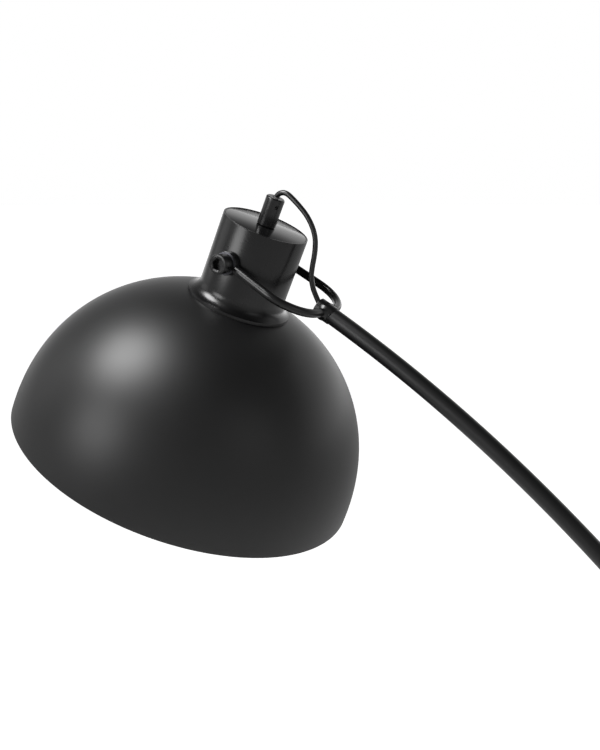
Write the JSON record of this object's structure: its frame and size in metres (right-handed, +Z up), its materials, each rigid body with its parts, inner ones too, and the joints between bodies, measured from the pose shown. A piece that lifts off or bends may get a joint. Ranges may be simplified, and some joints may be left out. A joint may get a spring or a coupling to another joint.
{
  "type": "arc floor lamp",
  "caption": "Floor lamp with a dome shade on a tilting neck, held in a rod yoke at the tip of a long curved tube that rises from a round weighted base.",
  "frame": {"origin": "centre of the base's underside, on the floor", "axes": "+Z up; the pole stands towards +X of the base's centre and the arm reaches over towards -X; the tilt axis runs along Y"},
  "size_m": [1.1992, 0.4009, 1.8293],
  "materials": {
    "black_paint": "satin black powder coat",
    "black_grip": "satin black turned metal",
    "black_screw": "black oxide socket screws",
    "steel": "zinc plated steel",
    "brass": "bare brass",
    "nickel": "nickel plated",
    "black_plastic": "moulded black plastic",
    "flex": "smooth black flex sheath",
    "tie": "woven black tie",
    "cast_iron": "raw grey casting",
    "pad": "closed cell foam",
    "opal_glass": "opal white",
    "white_plastic": "white moulded"
  },
  "bodies": {
    "stand": {"yoke_branch_near": "black_paint", "yoke_branch_far": "black_paint", "yoke_hub": "black_paint", "hub_set_screw": "steel", "arm_spigot": "steel", "arm_upper_tube": "black_paint", "arm_joint_sleeve": "steel", "arm_lower_tube": "black_paint", "pole_joint_sleeve": "steel", "pole_tube": "black_paint", "pole_foot": "steel", "pole_collar": "black_paint", "base_cover": "black_paint", "base_weight": "cast_iron", "base_pad": "pad", "base_washer": "steel", "base_nut": "steel", "base_gland": "black_plastic", "flex_in_arm": "flex", "flex_loop": "flex", "lead_to_switch": "flex", "lead_to_coil": "flex", "lead_coil": "flex", "coil_tie": "tie", "lead_to_plug": "flex", "plug_body": "black_plastic", "plug_pins": "nickel", "switch_base": "black_plastic", "switch_cover": "black_plastic", "switch_module": "white_plastic", "switch_screws": "steel", "switch_spring": "steel"},
    "head": {"shade": "black_paint", "shade_ring": "black_plastic", "neck_cup": "black_paint", "neck_lid": "black_paint", "cord_grip": "black_grip", "grip_set_screw": "steel", "grip_nipple": "brass", "grip_nut": "brass", "grip_tooth_washer": "steel", "holder_cap": "black_plastic", "holder_body": "black_plastic", "holder_screw_shell": "brass", "holder_contact": "brass", "bulb_globe": "opal_glass", "bulb_cap": "nickel", "bulb_contact": "brass", "pivot_screws": "black_screw", "pivot_spring_washers": "black_screw", "pivot_spacers": "black_plastic", "pivot_weld_nuts": "steel", "flex_in_neck": "flex"},
    "foot_button": {"switch_button": "black_plastic"}
  },
  "joints": [
    {"name": "head_tilt", "type": "hinge", "parent": "stand", "child": "head", "pos_m": [-0.709, 0, 1.76424], "axis": [0, 1, 0], "range_deg": [-20, 50], "deforming": ["flex_loop"]},
    {"name": "switch_press", "type": "slide", "parent": "stand", "child": "foot_button", "axis": [0, 0, -1], "range_m": [0, 0.0025], "stiffness_N_per_m": 1500, "deforming": ["switch_spring"]}
  ]
}
